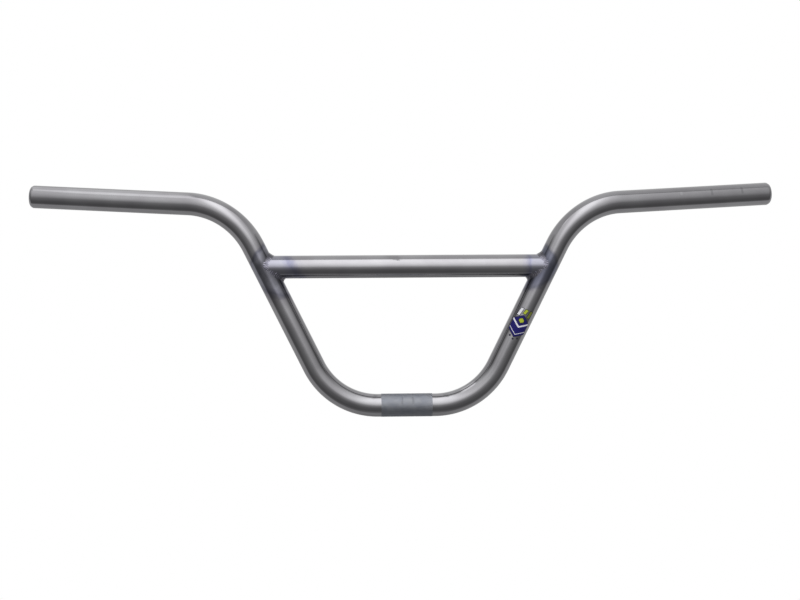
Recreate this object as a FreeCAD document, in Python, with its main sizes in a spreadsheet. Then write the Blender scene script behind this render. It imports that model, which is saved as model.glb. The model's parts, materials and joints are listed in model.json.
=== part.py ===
import FreeCAD, Part
import math
import os
import Sketcher

# BMX handlebar: one bent steel tube with a coped crossbar welded between its legs.
# Millimetres. The origin is the middle of the stem clamp, on the tube's axis.
# +X runs along the clamp, +Z is the rise, and the grips sweep back towards +Y.

# Driving sizes: (name, value, what it is).
SIZES = [
    ("bar_width", 723.9, "between the centres of the two tube ends, 28.5 in"),
    ("bar_rise", 203.2, "from the clamp's axis up to the centre of a tube end, 8 in"),
    ("tube_diameter", 22.2, "outside of the bar and of the crossbar, 7/8 in"),
    ("bar_wall", 1.5, "wall of the bent bar"),
    ("crossbar_wall", 1.0, "wall of the crossbar"),
    ("clamp_straight", 55.2, "straight run in the middle, between the lower bends"),
    ("lower_bend_radius", 68.5, "centreline radius of the bends beside the clamp"),
    ("leg_angle", 63.6, "slope of a leg, degrees above the clamp's axis"),
    ("upper_bend_radius", 74.3, "centreline radius of the bends into the grips"),
    ("upsweep", 3.0, "rise of a grip in the front view, degrees"),
    ("backsweep", 11.0, "backward turn of a grip in the top view, degrees"),
    ("crossbar_drop", 69.2, "from the level of the tube ends down to the crossbar's axis"),
    ("cope_trim", 2.0, "feather edge taken off the two tips of each cope"),
    ("weld_radius", 3.3, "corner radius of the weld bead's six-sided section"),
    ("weld_side_sink", 2.4, "how far the bead's centre lies under the tubes at the sides of a joint"),
    ("weld_top_sink", 1.0, "how far the bead's centre lies inside the corner at the top of a joint"),
    ("knurl_length", 50.0, "knurled band in the middle of the clamp"),
    ("knurl_rise", 0.08, "how far the knurl's crests stand above the tube"),
    ("end_taper_length", 2.0, "how far the eased outer edge of a tube end runs along the tube"),
    ("end_taper_depth", 1.0, "how far that edge is turned in"),
    ("mouth_chamfer", 0.3, "chamfer of the bore at each tube end"),
]

# Values that follow from the sizes: (name, formula).
LAYOUT = [
    ("tube_radius", "sizes.tube_diameter / 2"),
    ("bore_radius", "sizes.tube_diameter / 2 - sizes.bar_wall"),
    ("half_width", "sizes.bar_width / 2"),
    ("lower_tangent", "sizes.lower_bend_radius * tan(sizes.leg_angle / 2)"),
    ("lower_corner_x", "sizes.clamp_straight / 2 + lower_tangent"),
    ("corner_rise", "sizes.bar_rise - (half_width - lower_corner_x) * tan(sizes.upsweep)"),
    ("upper_corner_z", "corner_rise / (1 - tan(sizes.upsweep) / tan(sizes.leg_angle))"),
    ("upper_corner_x", "lower_corner_x + upper_corner_z / tan(sizes.leg_angle)"),
    ("grip_slant", "sqrt(1 + tan(sizes.backsweep)^2 + tan(sizes.upsweep)^2)"),
    ("bend_cosine", "(cos(sizes.leg_angle) + sin(sizes.leg_angle) * tan(sizes.upsweep)) / grip_slant"),
    ("upper_bend", "acos(bend_cosine)"),
    ("upper_tangent", "sizes.upper_bend_radius * tan(upper_bend / 2)"),
    ("grip_drop", "cos(sizes.leg_angle) * tan(sizes.upsweep) - sin(sizes.leg_angle)"),
    ("upper_bend_roll", "atan2(grip_drop; tan(sizes.backsweep))"),
    ("leg_straight", "upper_corner_z / sin(sizes.leg_angle) - lower_tangent - upper_tangent"),
    ("grip_straight", "(half_width - upper_corner_x) * grip_slant - upper_tangent"),
    ("leg_end_x", "upper_corner_x - upper_tangent * cos(sizes.leg_angle)"),
    ("leg_end_z", "upper_corner_z - upper_tangent * sin(sizes.leg_angle)"),
    ("crossbar_height", "sizes.bar_rise - sizes.crossbar_drop"),
    ("joint_x", "lower_corner_x + crossbar_height / tan(sizes.leg_angle)"),
    ("crossbar_half", "joint_x - sizes.cope_trim"),
    ("weld_side", "tube_radius - sizes.weld_side_sink"),
    ("weld_top_reach", "tube_radius / cos(sizes.leg_angle / 2) - sizes.weld_top_sink"),
    ("weld_top_tip", "weld_side * sqrt(weld_side / weld_top_reach)"),
    ("weld_top_flank", "((weld_top_reach - weld_top_tip)^2 + weld_side^2 - weld_top_tip^2)"
     " / (2 * (weld_side - weld_top_tip))"),
    ("weld_under_reach", "tube_radius / sin(sizes.leg_angle / 2)"),
    ("weld_under_tip", "weld_side * sqrt(weld_side / weld_under_reach)"),
    ("weld_under_flank", "((weld_under_reach - weld_under_tip)^2 + weld_side^2 - weld_under_tip^2)"
     " / (2 * (weld_side - weld_under_tip))"),
]

# How far a cutting tool runs past the face that it opens.
OVERRUN = 5.0

# The bead's section is a hexagon with a flat outwards, so the weld has a nearly flat face.
BEAD_SIDES = 6
BEAD_HALF_ANGLE = 180 / BEAD_SIDES

# Normal of the plane that halves the bar, and how close two equal radii have to be.
SIDEWAYS = FreeCAD.Vector(1, 0, 0)
SAME_RADIUS = 1e-4

# A QUARTER turn, and the normal of every sketch in its own coordinates.
QUARTER = math.pi / 2
SKETCH_NORMAL = FreeCAD.Vector(0, 0, 1)

doc = FreeCAD.newDocument("bmx_handlebar")


def fill_sheet(name, rows):
    """A spreadsheet with a name, a value or formula, and a note on each row."""
    sheet = doc.addObject("Spreadsheet::Sheet", name)
    for row, (alias, content, note) in enumerate(rows, start=1):
        sheet.set(f"A{row}", alias)
        sheet.set(f"B{row}", str(content))
        sheet.set(f"C{row}", note)
        sheet.setAlias(f"B{row}", alias)
    doc.recompute()
    return sheet


sizes = fill_sheet("sizes", SIZES)
layout = fill_sheet("layout", [(alias, "=" + formula, "") for alias, formula in LAYOUT])


def value(sheet, alias):
    """A cell as a plain number."""
    return float(getattr(sheet, alias))


def bind(item, **formulas):
    """Tie properties of an object to the sheets."""
    for name, formula in formulas.items():
        item.setExpression(name, formula)
    return item


def place(item, base, turn):
    """Tie an object's place to the sheets: base is x; y; z, turn is yaw; pitch; roll."""
    item.setExpression("Placement", f"placement(vector({base}); rotation({turn}))")
    return item


def add(kind, name, **properties):
    """An object of the document with fixed properties."""
    item = doc.addObject(kind, name)
    for key, content in properties.items():
        setattr(item, key, content)
    return item


def origin_plane(body, role):
    """One of a body's own origin planes."""
    return next(plane for plane in body.Origin.OriginFeatures if plane.Role == role)


def sketch_on(body, name, role):
    """A sketch on one of the body's origin planes."""
    sketch = body.newObject("Sketcher::SketchObject", name)
    sketch.AttachmentSupport = [(origin_plane(body, role), "")]
    sketch.MapMode = "FlatFace"
    return sketch


def sketch_at(body, name, base, turn):
    """A sketch on a plane of its own, placed from the sheets."""
    sketch = body.newObject("Sketcher::SketchObject", name)
    return place(sketch, base, turn)


def named(sketch, constraint, name, formula):
    """A driving constraint with a name, tied to the sheets."""
    index = sketch.addConstraint(constraint)
    sketch.renameConstraint(index, name)
    sketch.setExpression(f"Constraints.{name}", formula)


def draw_circle(sketch, radius, formula):
    """The tube's round section, centred on the path."""
    sketch.addGeometry(Part.Circle(FreeCAD.Vector(), SKETCH_NORMAL, radius), False)
    sketch.addConstraint(Sketcher.Constraint("Coincident", 0, 3, -1, 1))
    named(sketch, Sketcher.Constraint("Radius", 0, radius), "radius", formula)


def draw_leg_path(sketch):
    """From the middle of the clamp, round the lower bend and up the leg."""
    half = value(sizes, "clamp_straight") / 2
    radius = value(sizes, "lower_bend_radius")
    length = value(layout, "leg_straight")
    angle = math.radians(value(sizes, "leg_angle"))
    centre = FreeCAD.Vector(half, radius, 0)
    leg_way = FreeCAD.Vector(math.cos(angle), math.sin(angle), 0)
    bend_end = centre + FreeCAD.Vector(math.sin(angle), -math.cos(angle), 0) * radius
    circle = Part.Circle(centre, SKETCH_NORMAL, radius)
    sketch.addGeometry(Part.LineSegment(FreeCAD.Vector(), FreeCAD.Vector(half, 0, 0)), False)
    sketch.addGeometry(Part.ArcOfCircle(circle, -QUARTER, angle - QUARTER), False)
    sketch.addGeometry(Part.LineSegment(bend_end, bend_end + leg_way * length), False)
    sketch.addConstraint(Sketcher.Constraint("Coincident", 0, 1, -1, 1))
    sketch.addConstraint(Sketcher.Constraint("Horizontal", 0))
    sketch.addConstraint(Sketcher.Constraint("Tangent", 0, 2, 1, 1))
    sketch.addConstraint(Sketcher.Constraint("Tangent", 1, 2, 2, 1))
    named(sketch, Sketcher.Constraint("Distance", 0, half), "clamp_half", "sizes.clamp_straight / 2")
    named(sketch, Sketcher.Constraint("Radius", 1, radius), "bend_radius", "sizes.lower_bend_radius")
    named(sketch, Sketcher.Constraint("Angle", 2, angle), "leg_slope", "sizes.leg_angle * 1 deg")
    named(sketch, Sketcher.Constraint("Distance", 2, length), "leg_run", "layout.leg_straight")


def draw_grip_path(sketch, overrun):
    """From the top of the leg, round the upper bend and out along the grip."""
    radius = value(sizes, "upper_bend_radius")
    length = value(layout, "grip_straight") + overrun
    angle = math.radians(value(layout, "upper_bend"))
    centre = FreeCAD.Vector(0, radius, 0)
    grip_way = FreeCAD.Vector(math.cos(angle), math.sin(angle), 0)
    bend_end = centre + FreeCAD.Vector(math.sin(angle), -math.cos(angle), 0) * radius
    circle = Part.Circle(centre, SKETCH_NORMAL, radius)
    sketch.addGeometry(Part.ArcOfCircle(circle, -QUARTER, angle - QUARTER), False)
    sketch.addGeometry(Part.LineSegment(bend_end, bend_end + grip_way * length), False)
    sketch.addConstraint(Sketcher.Constraint("Coincident", 0, 1, -1, 1))
    sketch.addConstraint(Sketcher.Constraint("PointOnObject", 0, 3, -2))
    sketch.addConstraint(Sketcher.Constraint("Tangent", 0, 2, 1, 1))
    named(sketch, Sketcher.Constraint("Radius", 0, radius), "bend_radius", "sizes.upper_bend_radius")
    named(sketch, Sketcher.Constraint("Angle", 1, angle), "bend_turn", "layout.upper_bend")
    run = Sketcher.Constraint("Distance", 1, length)
    named(sketch, run, "grip_run", f"layout.grip_straight + {overrun}")


def pipe(body, name, profile, path):
    """A round rod along a path."""
    rod = body.newObject("PartDesign::AdditivePipe", name)
    rod.Profile = profile
    rod.Spine = path
    rod.Transition = "Transformed"
    return rod


def bent_rod(name, radius_alias, overrun):
    """The bar's whole route as a solid rod: half of it is swept, and the other half mirrored."""
    body = doc.addObject("PartDesign::Body", name)
    radius = value(layout, radius_alias)
    leg_path = sketch_on(body, name + "_leg_path", "XZ_Plane")
    draw_leg_path(leg_path)
    clamp_section = sketch_on(body, name + "_clamp_section", "YZ_Plane")
    draw_circle(clamp_section, radius, "layout." + radius_alias)
    leg = pipe(body, name + "_leg", clamp_section, leg_path)
    leg_end = "layout.leg_end_x; 0; layout.leg_end_z"
    grip_path = sketch_at(body, name + "_grip_path", leg_end, "0; -sizes.leg_angle; layout.upper_bend_roll")
    draw_grip_path(grip_path, overrun)
    leg_section = sketch_at(body, name + "_leg_section", leg_end, "0; 90 - sizes.leg_angle; 0")
    draw_circle(leg_section, radius, "layout." + radius_alias)
    grip = pipe(body, name + "_grip", leg_section, grip_path)
    mirrored = body.newObject("PartDesign::Mirrored", name + "_mirrored")
    mirrored.Originals = [leg, grip]
    mirrored.MirrorPlane = (origin_plane(body, "YZ_Plane"), [""])
    mirrored.Refine = True
    body.Tip = mirrored
    doc.recompute()
    return body


def cross_rod(name, radius_formula, half_formula):
    """A round rod along the crossbar's axis."""
    rod = doc.addObject("Part::Cylinder", name)
    bind(rod, Radius=radius_formula, Height=f"2 * ({half_formula})")
    return place(rod, f"-({half_formula}); 0; layout.crossbar_height", "0; 90; 0")


def cut(name, base, tool):
    """One solid less another."""
    return add("Part::Cut", name, Base=base, Tool=tool, Refine=True)


def end_edges(shape, radius):
    """The round edges of a given radius at the two open tube ends, by number."""
    reach = value(layout, "half_width") - value(sizes, "tube_diameter")
    return [
        number
        for number, edge in enumerate(shape.Edges, start=1)
        if isinstance(edge.Curve, Part.Circle)
        and abs(edge.Curve.Radius - radius) < SAME_RADIUS
        and abs(edge.Curve.Center.x) > reach
    ]


def break_edges(name, base, radius_alias, along_alias, deep_alias):
    """Chamfer the edges of one radius at both tube ends: so far along the tube, and so deep."""
    doc.recompute()
    along = value(sizes, along_alias)
    deep = value(sizes, deep_alias)
    numbers = end_edges(base.Shape, value(layout, radius_alias))
    return add("Part::Chamfer", name, Base=base, Edges=[(number, along, deep) for number in numbers])


def make_bent_bar(envelope):
    """The bent tube, with its knurled band, open bore and broken end edges."""
    band = doc.addObject("Part::Cylinder", "knurl_band")
    bind(band, Radius="layout.tube_radius + sizes.knurl_rise", Height="sizes.knurl_length")
    place(band, "-sizes.knurl_length / 2; 0; 0", "0; 90; 0")
    banded = add("Part::Fuse", "banded_rod", Base=envelope, Tool=band, Refine=True)
    bore = bent_rod("bar_bore", "bore_radius", OVERRUN)
    tube = cut("open_tube", banded, bore)
    eased = break_edges("eased_tube", tube, "tube_radius", "end_taper_length", "end_taper_depth")
    return break_edges("bent_bar", eased, "bore_radius", "mouth_chamfer", "mouth_chamfer")


def make_crossbar(stock, envelope):
    """The straight tube between the legs, coped to fit round them."""
    bore = cross_rod("crossbar_bore", "layout.tube_radius - sizes.crossbar_wall", "layout.joint_x")
    tube = cut("crossbar_tube", stock, bore)
    return cut("crossbar", tube, envelope)


def draw_bead_path(sketch, half):
    """Half an oval round the cope, as three tangent arcs: a flank, the tip and the other flank."""
    side = value(layout, "weld_side")
    tip = value(layout, f"weld_{half}_tip")
    flank = value(layout, f"weld_{half}_flank")
    tip_centre = FreeCAD.Vector(value(layout, f"weld_{half}_reach") - tip, 0, 0)
    flank_shift = FreeCAD.Vector(0, flank - side, 0)
    meet = math.atan2(flank - side, tip_centre.x)
    arcs = [
        (flank_shift, flank, -QUARTER, -meet),
        (tip_centre, tip, -meet, meet),
        (-flank_shift, flank, meet, QUARTER),
    ]
    for centre, radius, start, end in arcs:
        sketch.addGeometry(Part.ArcOfCircle(Part.Circle(centre, SKETCH_NORMAL, radius), start, end), False)
    for arc, end in ((0, 1), (2, 2)):
        sketch.addConstraint(Sketcher.Constraint("PointOnObject", arc, end, -2))
        sketch.addConstraint(Sketcher.Constraint("PointOnObject", arc, 3, -2))
    sketch.addConstraint(Sketcher.Constraint("PointOnObject", 1, 3, -1))
    sketch.addConstraint(Sketcher.Constraint("Tangent", 0, 2, 1, 1))
    sketch.addConstraint(Sketcher.Constraint("Tangent", 1, 2, 2, 1))
    sketch.addConstraint(Sketcher.Constraint("Equal", 0, 2))
    named(sketch, Sketcher.Constraint("DistanceY", 0, 1, -1, 1, side), "side", "layout.weld_side")
    named(sketch, Sketcher.Constraint("Radius", 0, flank), "flank", f"layout.weld_{half}_flank")
    named(sketch, Sketcher.Constraint("Radius", 1, tip), "tip", f"layout.weld_{half}_tip")


def bead_half(half, pitch):
    """Half of the weld's bead: its section swept along one half of the cope."""
    path = doc.addObject("Sketcher::SketchObject", f"bead_{half}_path")
    place(path, "-layout.joint_x; 0; layout.crossbar_height", f"0; {pitch}; 0")
    draw_bead_path(path, half)
    section = add("Part::RegularPolygon", f"bead_{half}_section", Polygon=BEAD_SIDES)
    bind(section, Circumradius="sizes.weld_radius")
    place(section, "-layout.joint_x; -layout.weld_side; layout.crossbar_height", f"0; {pitch} + 90; 0")
    doc.recompute()
    run = [f"Edge{number}" for number in range(1, len(path.Shape.Edges) + 1)]
    return add("Part::Sweep", f"bead_{half}", Sections=[section], Spine=(path, run), Solid=True)


def bead_corner(name, side):
    """The round of the bead where its two halves meet, beside the leg: the section turned about Y."""
    corner = doc.addObject("Part::Cone", name)
    bind(corner, Radius1="sizes.weld_radius", Radius2=f"sizes.weld_radius * sin({BEAD_HALF_ANGLE})")
    bind(corner, Height=f"sizes.weld_radius * cos({BEAD_HALF_ANGLE})")
    base = f"-layout.joint_x; {side} * layout.weld_side; layout.crossbar_height"
    return place(corner, base, f"0; 0; {-90 * side}")


def make_weld_left(stock, envelope):
    """The bead round the left cope: half an oval in each of the two planes that halve the joint."""
    halves = [bead_half("top", "sizes.leg_angle / 2 - 90"), bead_half("under", "sizes.leg_angle / 2")]
    corners = [bead_corner("bead_front", -1), bead_corner("bead_back", 1)]
    bead = add("Part::MultiFuse", "bead", Shapes=halves + corners, Refine=True)
    off_leg = cut("bead_off_leg", bead, envelope)
    return cut("weld_left", off_leg, stock)


def check(parts):
    """Stop if any object failed or any sub-part is not one sound solid."""
    for item in doc.Objects:
        if {"Invalid", "Error"} & set(item.State):
            raise RuntimeError(f"{item.Label} failed: {item.State}")
    for part in parts:
        shape = part.Shape
        if shape.isNull() or not shape.isValid() or len(shape.Solids) != 1:
            raise RuntimeError(f"{part.Label} is not one sound solid")


envelope = bent_rod("bar_envelope", "tube_radius", 0)
crossbar_stock = cross_rod("crossbar_stock", "layout.tube_radius", "layout.crossbar_half")
bent_bar = make_bent_bar(envelope)
crossbar = make_crossbar(crossbar_stock, envelope)
weld_left = make_weld_left(crossbar_stock, envelope)
weld_right = add("Part::Mirroring", "weld_right", Source=weld_left, Normal=SIDEWAYS)
doc.recompute()

sub_parts = [bent_bar, crossbar, weld_left, weld_right]
check(sub_parts)
os.makedirs("parts", exist_ok=True)
for sub_part in sub_parts:
    sub_part.Shape.exportStep(f"parts/{sub_part.Label}.step")
    print(sub_part.Label, round(sub_part.Shape.Volume, 1), "mm3")
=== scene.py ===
import json
import math

import bmesh
import bpy
import numpy as np
from mathutils import Matrix, Vector


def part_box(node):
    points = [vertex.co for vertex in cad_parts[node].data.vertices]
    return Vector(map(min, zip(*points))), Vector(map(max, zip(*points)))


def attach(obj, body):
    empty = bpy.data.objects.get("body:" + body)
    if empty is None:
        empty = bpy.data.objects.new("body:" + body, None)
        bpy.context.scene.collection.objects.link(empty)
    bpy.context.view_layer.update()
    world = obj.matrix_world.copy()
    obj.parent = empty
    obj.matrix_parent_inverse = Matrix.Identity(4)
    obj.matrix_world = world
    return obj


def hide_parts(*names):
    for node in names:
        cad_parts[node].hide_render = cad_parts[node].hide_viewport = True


# Looks of a BMX handlebar: bare steel tube under a clear grey coat, blued beside its welds.
# Metres, in the frame of the solids: the origin is the middle of the stem clamp, +X along the
# clamp, +Z up the rise, and the grips sweep back to +Y. The camera looks along +Y.

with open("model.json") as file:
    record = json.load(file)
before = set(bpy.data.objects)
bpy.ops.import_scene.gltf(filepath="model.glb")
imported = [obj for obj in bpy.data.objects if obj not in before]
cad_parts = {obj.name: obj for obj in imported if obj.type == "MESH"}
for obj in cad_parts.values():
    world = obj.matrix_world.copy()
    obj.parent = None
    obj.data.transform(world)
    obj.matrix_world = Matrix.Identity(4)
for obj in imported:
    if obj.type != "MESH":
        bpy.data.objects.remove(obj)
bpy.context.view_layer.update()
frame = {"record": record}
MM = 0.001

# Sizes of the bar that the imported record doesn't hold, as in the part's source.
LOWER_BEND_RADIUS = 68.5 * MM
UPPER_BEND_RADIUS = 74.3 * MM
LEG_ANGLE = math.radians(63.6)
CROSSBAR_WALL = 1.0 * MM
END_TAPER_LENGTH = 2.0 * MM
END_TAPER_DEPTH = 1.0 * MM
MOUTH_CHAMFER = 0.3 * MM
KNURL_LENGTH = 50.0 * MM
KNURL_RISE = 0.08 * MM

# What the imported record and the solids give.
MOUNTS = {mount["name"]: mount for mount in frame["record"]["mounts"]}
TUBE_RADIUS = MOUNTS["stem_clamp"]["dims"]["r_mm"] * MM
CLAMP_HALF = MOUNTS["stem_clamp"]["dims"]["length_mm"] / 2 * MM
BORE_RADIUS = MOUNTS["bar_end_right"]["dims"]["r_mm"] * MM
GRIP_WAY = Vector(MOUNTS["grip_right"]["axis"])
GRIP_MIDDLE = Vector(MOUNTS["grip_right"]["pos_m"])
CROSSBAR_LOW, CROSSBAR_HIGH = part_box("crossbar")
CROSSBAR_HEIGHT = (CROSSBAR_LOW.z + CROSSBAR_HIGH.z) / 2
CROSSBAR_HALF = CROSSBAR_HIGH.x

# Where the straight lines of the route cross, before the bends round them off.
LEG_WAY = Vector((math.cos(LEG_ANGLE), 0, math.sin(LEG_ANGLE)))
LOWER_CORNER_X = CLAMP_HALF + LOWER_BEND_RADIUS * math.tan(LEG_ANGLE / 2)
UPPER_CORNER = GRIP_MIDDLE - GRIP_WAY * (GRIP_MIDDLE.y / GRIP_WAY.y)
UPPER_BEND = LEG_WAY.angle(GRIP_WAY)
UPPER_TANGENT = UPPER_BEND_RADIUS * math.tan(UPPER_BEND / 2)
LOWER_TANGENT = LOWER_BEND_RADIUS * math.tan(LEG_ANGLE / 2)
LEG_STRAIGHT = (UPPER_CORNER - Vector((LOWER_CORNER_X, 0, 0))).length - LOWER_TANGENT - UPPER_TANGENT
GRIP_STRAIGHT = 2 * ((GRIP_MIDDLE - UPPER_CORNER).length - UPPER_TANGENT)
HALF_LENGTH = (CLAMP_HALF + LOWER_BEND_RADIUS * LEG_ANGLE + LEG_STRAIGHT
               + UPPER_BEND_RADIUS * UPPER_BEND + GRIP_STRAIGHT)
JOINT_X = LOWER_CORNER_X + CROSSBAR_HEIGHT / math.tan(LEG_ANGLE)

# How finely the round pieces are cut, and how near to an edge the bar has no ring.
AROUND = 96
STRAIGHT_STEP = 4.0 * MM
BEND_STEP = 2.0 * MM
CROSSBAR_STEPS = 90
SEAM_STEPS = 720
HEAT_STEPS = 240
EDGE_MARGIN = 1.0 * MM

# How the taper at the bar's ends is eased: over this length at its edges, and this much at the mouth.
TAPER_EASE = 0.25 * MM
MOUTH_EASE = 0.05 * MM

# The crossbar's streaks are taken from so far along the tube that they differ from the bar's.
CROSSBAR_APART = 2.0

# The weld bead: half its width at the top, under and at the sides; how hollow it is in the corners and
# how proud at the sides; how deep its toes and its root lie; and how finely it is cut.
BEAD_TOP = 3.6 * MM
BEAD_UNDER = 3.4 * MM
BEAD_SIDE = 2.9 * MM
BEAD_HOLLOW = 0.5 * MM
BEAD_PROUD = 0.25 * MM
BEAD_SINK = 0.12 * MM
BEAD_ROOT = 1.2 * MM
BEAD_STEPS = 480
BEAD_ACROSS = 22

# The bead's line is the seam, smoothed over the first length, and over the second at the front and the
# back. There it is blunt up to this share of the tube's radius above and below the crossbar's axis.
SEAM_TIGHT = 1.2 * MM
SEAM_BLUNT = 4.0 * MM
BLUNT_REACH = 0.8

# How far the bead's parts are smoothed, in steps along it.
WAY_SMOOTH = 6
WIDTH_SMOOTH = 10
OUTWARD_SMOOTH = 8
PROUD_SMOOTH = 6
ROOT_SMOOTH = 4

# The bead's ripples: their pitch and height, how they bow and vary, how one rises and falls, and the
# level that it stands about.
RIPPLE_PITCH = 1.8 * MM
RIPPLE_HEIGHT = 0.42 * MM
RIPPLE_BOW = 0.6
RIPPLE_VARIES = 0.45
RIPPLE_RISE, RIPPLE_FALL = 0.6, 0.25
RIPPLE_LEVEL = 0.4

# The knurl: diamonds round the clamp and rows along it, the points and rings for each, the flat share
# of its crests, the depth of its grooves and seat, its bevelled ends, and its two ticks.
KNURL_DIAMONDS = 70
KNURL_ROWS = 29
DIAMOND_POINTS = 4
ROW_RINGS = 7
KNURL_FLAT = 0.25
KNURL_DEPTH = 0.2 * MM
KNURL_RECESS = 0.6 * MM
KNURL_BEVEL = 0.4 * MM
KNURL_EDGE = 0.02 * MM
TICKS = (-4.7 * MM, 5.9 * MM)
TICK_WIDTH = 0.8 * MM
TICK_DEPTH = 0.35 * MM
TICK_LOW, TICK_HIGH = math.radians(8), math.radians(46)

# The camera, found by fitting the bar's edges: what it aims at, how far away, and how it is turned.
CAMERA_AIM = Vector((-5.804, 0, 101.591)) * MM
CAMERA_DISTANCE = 1686.3 * MM
CAMERA_YAW = math.radians(2.7294)
CAMERA_PITCH = math.radians(2.3138)
CAMERA_ROLL = math.radians(-0.296)
CAMERA_LENS = 78.695
CAMERA_SENSOR = 36.0
CAMERA_NEAR, CAMERA_FAR = 0.01, 50.0

# The studio: the surroundings' level as a light; the floor's height, size, grey and white share in the
# middle, and where it goes over into white; and the lamp.
WHITE = (1, 1, 1, 1)
AMBIENT = 0.5
FLOOR_HEIGHT = -450 * MM
FLOOR_RADIUS = 6.0
FLOOR_PAPER = (0.9, 0.9, 0.9, 1)
FLOOR_WHITE = 0.7
FLOOR_FADE = (0.5, 1.2)
LAMP_POWER = 18.0
LAMP_SIZE = 1.2
LAMP_PLACE = (-0.2, -1.0, 1.6)

# The light tent: its radius, its brightest level, half its opening in degrees, its gap over the floor
# and how finely it is cut. Its level is given by the angle round the bar's length, in degrees: from the
# camera at 0, up over the top at 90 and down to the floor at -90. It fades to the sides, whose own
# level goes from the camera's end at -1 to the backdrop's at 1.
TENT_RADIUS = 2.2
TENT_TOP = 3.2
TENT_OPENING = 24.0
TENT_GAP = 10 * MM
TENT_ROWS, TENT_COLUMNS = 48, 96
TENT_LEVELS = [
    (-150, 0.22),
    (-112, 0.32),
    (-86, 0.42),
    (-81, 0.31),
    (-70, 0.22),
    (-60, 0.15),
    (-35, 0.19),
    (-23, 0.28),
    (-11, 0.46),
    (-5, 0.58),
    (0, 0.88),
    (12, 1.50),
    (23, 1.95),
    (35, 2.25),
    (47, 2.45),
    (60, 2.50),
    (76, 2.30),
    (77, 0.88),
    (106, 0.86),
    (130, 0.82),
    (150, 0.74),
]
TENT_FADE = [
    (-0.85, 0.0),
    (-0.76, 0.15),
    (-0.62, 0.31),
    (-0.54, 0.42),
    (-0.40, 0.47),
    (-0.27, 0.60),
    (-0.13, 0.87),
    (0.0, 0.95),
    (0.15, 0.87),
    (0.28, 0.62),
    (0.38, 0.48),
    (0.50, 0.36),
    (0.61, 0.25),
    (0.70, 0.20),
    (0.78, 0.10),
    (0.86, 0.0),
]
TENT_SIDES = [
    (-1.0, 0.26),
    (-0.75, 0.25),
    (-0.50, 0.17),
    (-0.28, 0.15),
    (-0.15, 0.22),
    (-0.05, 0.52),
    (0.0, 0.56),
]

# A soft panel over the left grip: its height, sides, ends, how far its outer and inner edges fade,
# its level at the front and at the back, and where the one goes over into the other.
PANEL_HEIGHT = 0.9
PANEL_OUTER, PANEL_INNER = -0.67, -0.26
PANEL_NEAR, PANEL_FAR = -0.4, 0.5
PANEL_OUTER_SOFT, PANEL_INNER_SOFT = 0.08, 0.11
PANEL_FRONT, PANEL_BACK = 1.72, 1.12
PANEL_TURN = (-0.16, 0.12)

# A card over the crossbar's middle that keeps the panel out of the right bend's gloss: its corners,
# from front to back and in height, and its level.
CARD_CORNERS = [(-0.105, 0.27), (0.30, 0.27), (0.30, 0.56), (-0.055, 0.56)]
CARD_LEVEL = 0.66

RANDOM = np.random.default_rng(11)


class Nodes:
    """A material's or world's node tree, with short ways to add and join nodes."""

    def __init__(self, owner):
        owner.use_nodes = True
        self.tree = owner.node_tree
        self.tree.nodes.clear()

    def add(self, kind, inputs=(), **settings):
        """A node with its settings, and its inputs set to values or joined to other nodes' outputs."""
        node = self.tree.nodes.new(kind)
        for name, content in settings.items():
            setattr(node, name, content)
        for key, content in dict(inputs).items():
            if isinstance(content, bpy.types.NodeSocket):
                self.tree.links.new(content, node.inputs[key])
            else:
                node.inputs[key].default_value = content
        return node

    def sum(self, operation, *values):
        """One step of arithmetic."""
        return self.add("ShaderNodeMath", dict(enumerate(values)), operation=operation).outputs[0]

    def stretch(self, vector, scale):
        """A vector times a vector."""
        node = self.add("ShaderNodeVectorMath", {0: vector, 1: scale}, operation="MULTIPLY")
        return node.outputs[0]

    def noise(self, vector, sizes, detail=2.0, roughness=0.5):
        """Noise from 0 to 1, with so many swells per metre along each axis."""
        spread = self.stretch(vector, sizes)
        inputs = {"Vector": spread, "Scale": 1.0, "Detail": detail, "Roughness": roughness}
        return self.add("ShaderNodeTexNoise", inputs).outputs["Fac"]

    def span(self, value, low, high, to_low=0.0, to_high=1.0, smooth=False):
        """A value carried from one span to another, and held at its ends."""
        inputs = {"Value": value, "From Min": low, "From Max": high, "To Min": to_low, "To Max": to_high}
        kind = "SMOOTHSTEP" if smooth else "LINEAR"
        return self.add("ShaderNodeMapRange", inputs, interpolation_type=kind, clamp=True).outputs[0]

    def ramp(self, value, stops):
        """Colours at places from 0 to 1."""
        node = self.add("ShaderNodeValToRGB", {"Fac": value})
        elements = node.color_ramp.elements
        while len(elements) < len(stops):
            elements.new(1.0)
        for element, (place, colour) in zip(elements, stops):
            element.position = place
            element.color = (*colour, 1.0)
        return node.outputs["Color"]

    def mix(self, share, first, second, blend="MIX"):
        """Two colours mixed. The node's sockets share their names, so they go by number."""
        factor, first_colour, second_colour, result = 0, 6, 7, 2
        inputs = {factor: share}
        for number, colour in ((first_colour, first), (second_colour, second)):
            joined = isinstance(colour, bpy.types.NodeSocket)
            inputs[number] = colour if joined else (*colour, 1.0)
        node = self.add("ShaderNodeMix", inputs, data_type="RGBA", blend_type=blend)
        return node.outputs[result]

    def attribute(self, name, output):
        """A value that the mesh carries at each point."""
        return self.add("ShaderNodeAttribute", attribute_name=name).outputs[output]

    def seen(self):
        """1 where the camera sees a surface, also by reflection or through glass."""
        path = self.add("ShaderNodeLightPath").outputs
        first = self.sum("MAXIMUM", path["Is Camera Ray"], path["Is Glossy Ray"])
        return self.sum("MAXIMUM", first, path["Is Transmission Ray"])

    def bump(self, height, strength):
        """A normal that follows a height."""
        inputs = {"Height": height, "Strength": strength, "Distance": BUMP_DEPTH}
        return self.add("ShaderNodeBump", inputs).outputs["Normal"]

    def finish(self, shader, output="ShaderNodeOutputMaterial"):
        """The shader goes to the tree's output."""
        self.tree.links.new(shader, self.add(output).inputs["Surface"])


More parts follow.
